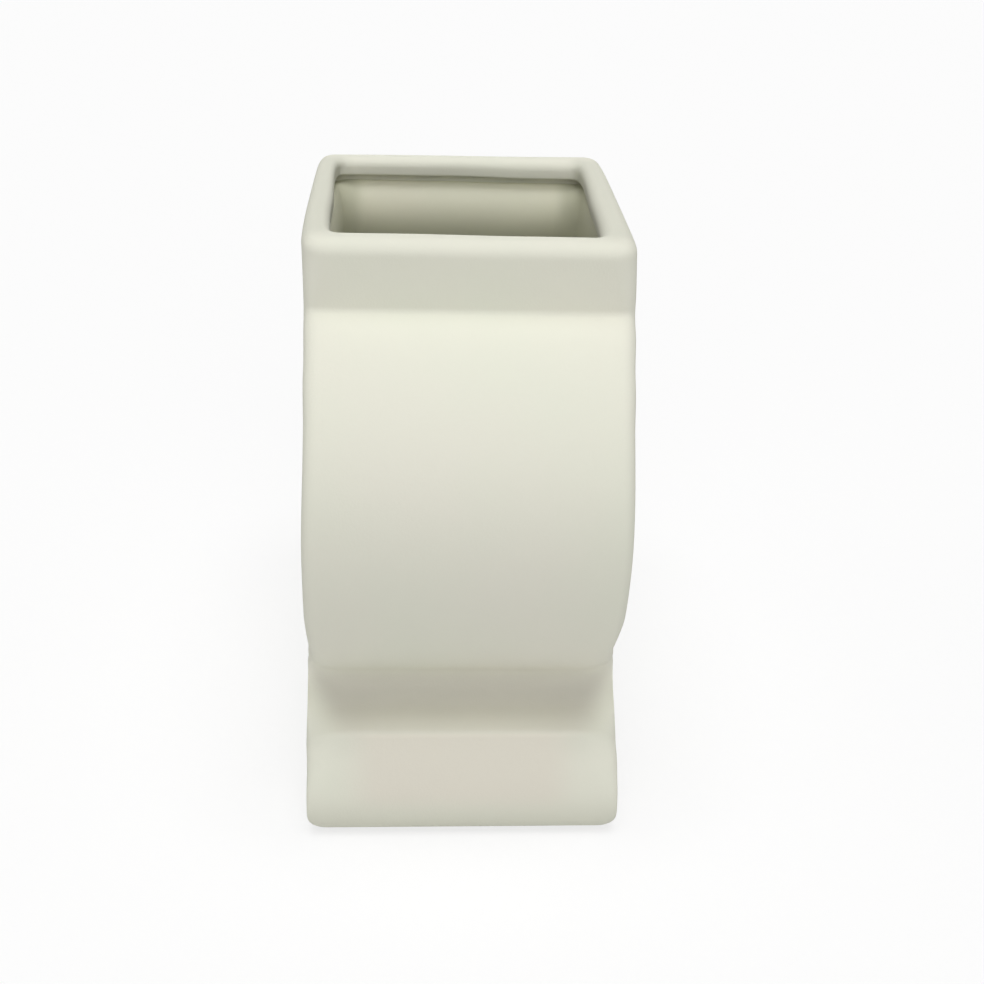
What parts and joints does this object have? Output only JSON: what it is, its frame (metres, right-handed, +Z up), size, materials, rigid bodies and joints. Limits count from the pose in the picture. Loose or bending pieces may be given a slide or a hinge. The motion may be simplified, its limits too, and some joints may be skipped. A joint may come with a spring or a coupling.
{
  "type": "pedestal vase",
  "caption": "Free-standing ceramic flower vase with a box collar, a round-fronted belly between flat cheeks and a flared pedestal foot.",
  "frame": {"origin": "on the table, under the middle of the foot", "axes": "+Z up, +X across the width between the flat cheeks, -Y towards the viewer of the picture"},
  "size_m": [0.1, 0.1884, 0.1869],
  "materials": {
    "matte_ceramic": "matte, warm white bisque with a fine even grain",
    "inside_glaze": "satin, thin pale glaze",
    "soft_pad": "matte, soft, pale"
  },
  "bodies": {
    "root": {"rim_collar": "matte_ceramic", "belly_drum": "matte_ceramic", "pedestal_foot": "matte_ceramic", "glaze_lining": "inside_glaze", "foot_pad_front_left": "soft_pad", "foot_pad_front_right": "soft_pad", "foot_pad_back_left": "soft_pad", "foot_pad_back_right": "soft_pad"}
  },
  "joints": []
}
